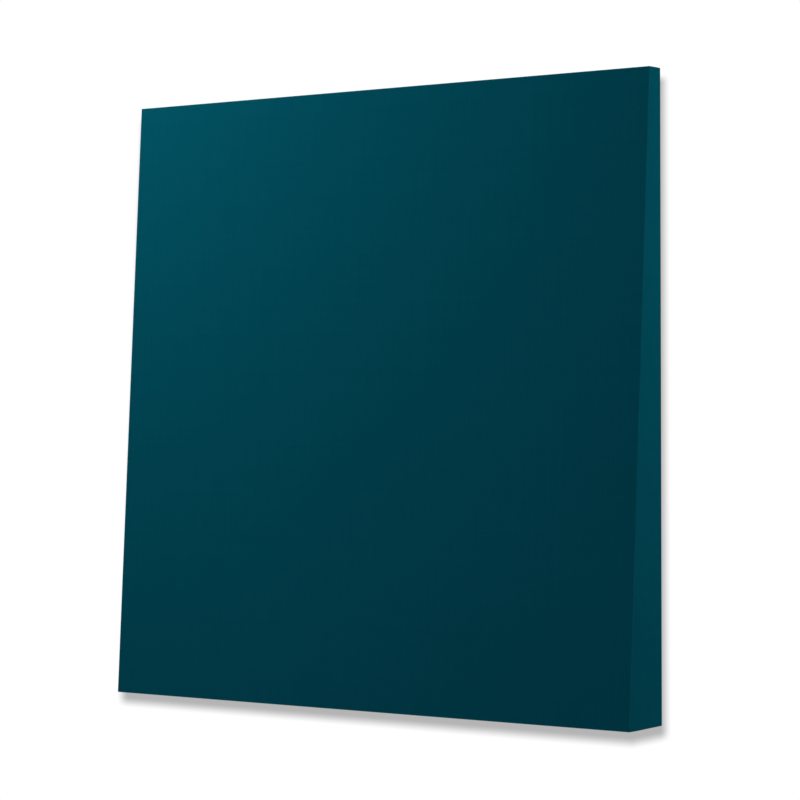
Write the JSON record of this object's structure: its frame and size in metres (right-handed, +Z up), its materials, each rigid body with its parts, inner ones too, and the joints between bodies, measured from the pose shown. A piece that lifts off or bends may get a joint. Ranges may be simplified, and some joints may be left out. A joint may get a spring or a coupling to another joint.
{
  "type": "acoustic panel",
  "caption": "Square tapered acoustic wall panel: cloth-wrapped timber frame round a mineral wool wedge, thin at the top and deep at the bottom, that lifts off an interlocking wall rail.",
  "frame": {"origin": "middle of the wall rail's back face, on the wall's surface and on the panel's centre line", "axes": "+Y into the wall, so the cloth face looks along -Y; +Z up; +X to the right as seen from the room"},
  "size_m": [0.6, 0.0668, 0.6],
  "materials": {
    "face_cloth": "matte",
    "back_cloth": "matte",
    "wadding": "matte",
    "mineral_wool": "matte",
    "pine": "matte",
    "plywood": "matte",
    "aluminium": "satin",
    "steel": "satin",
    "staple_wire": "satin",
    "rubber": "matte"
  },
  "bodies": {
    "wall": {"wall_rail": "aluminium"},
    "panel": {"hanging_rail": "aluminium", "rail_screw_1": "steel", "rail_screw_2": "steel", "rail_screw_3": "steel", "rail_screw_4": "steel", "top_rail": "pine", "bottom_rail": "pine", "left_stile": "pine", "right_stile": "pine", "corner_block_top_left": "plywood", "corner_block_top_right": "plywood", "corner_block_bottom_left": "plywood", "corner_block_bottom_right": "plywood", "frame_screw_top_left_1": "steel", "frame_screw_top_left_2": "steel", "frame_screw_top_right_1": "steel", "frame_screw_top_right_2": "steel", "frame_screw_bottom_left_1": "steel", "frame_screw_bottom_left_2": "steel", "frame_screw_bottom_right_1": "steel", "frame_screw_bottom_right_2": "steel", "absorber_core": "mineral_wool", "face_wadding": "wadding", "fabric_cover": "face_cloth", "back_cloth": "back_cloth", "bumper_left": "rubber", "bumper_right": "rubber", "bumper_screw_left": "steel", "bumper_screw_right": "steel", "staple_top_1": "staple_wire", "staple_top_2": "staple_wire", "staple_top_3": "staple_wire", "staple_top_4": "staple_wire", "staple_top_5": "staple_wire", "staple_top_6": "staple_wire", "staple_top_7": "staple_wire", "staple_bottom_1": "staple_wire", "staple_bottom_2": "staple_wire", "staple_bottom_3": "staple_wire", "staple_bottom_4": "staple_wire", "staple_bottom_5": "staple_wire", "staple_bottom_6": "staple_wire", "staple_bottom_7": "staple_wire", "staple_left_1": "staple_wire", "staple_left_2": "staple_wire", "staple_left_3": "staple_wire", "staple_left_4": "staple_wire", "staple_left_5": "staple_wire", "staple_left_6": "staple_wire", "staple_left_7": "staple_wire", "staple_right_1": "staple_wire", "staple_right_2": "staple_wire", "staple_right_3": "staple_wire", "staple_right_4": "staple_wire", "staple_right_5": "staple_wire", "staple_right_6": "staple_wire", "staple_right_7": "staple_wire"}
  },
  "joints": [
    {"name": "lift_off", "type": "slide", "parent": "wall", "child": "panel", "axis": [0, 0, 1], "range_m": [0, 0.012]}
  ]
}
